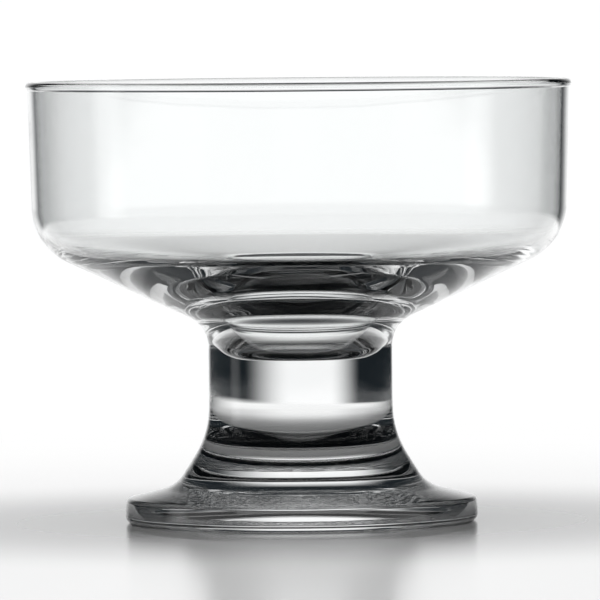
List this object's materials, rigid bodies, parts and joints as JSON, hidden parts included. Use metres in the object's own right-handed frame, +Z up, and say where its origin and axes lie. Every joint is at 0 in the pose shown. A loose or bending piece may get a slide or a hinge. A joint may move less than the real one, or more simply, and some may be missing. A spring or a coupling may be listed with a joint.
{
  "type": "sundae dish",
  "caption": "Clear glass sundae dish: open round bowl with a rim bead and rounded shoulder, on a short solid stem and a flared round foot.",
  "frame": {"origin": "centre of the foot on the plane that it stands on, on the axis of the glass", "axes": "+Z up along the axis of the glass, towards the rim; the glass is round, so X and Y are any two level directions"},
  "size_m": [0.105, 0.105, 0.085],
  "materials": {
    "bowl_glass": "clear fire-polished soda-lime glass",
    "stem_glass": "clear fire-polished soda-lime glass",
    "foot_glass": "clear pressed soda-lime glass with a stippled bearing ring"
  },
  "bodies": {
    "root": {"bowl": "bowl_glass", "stem": "stem_glass", "foot": "foot_glass"}
  },
  "joints": []
}
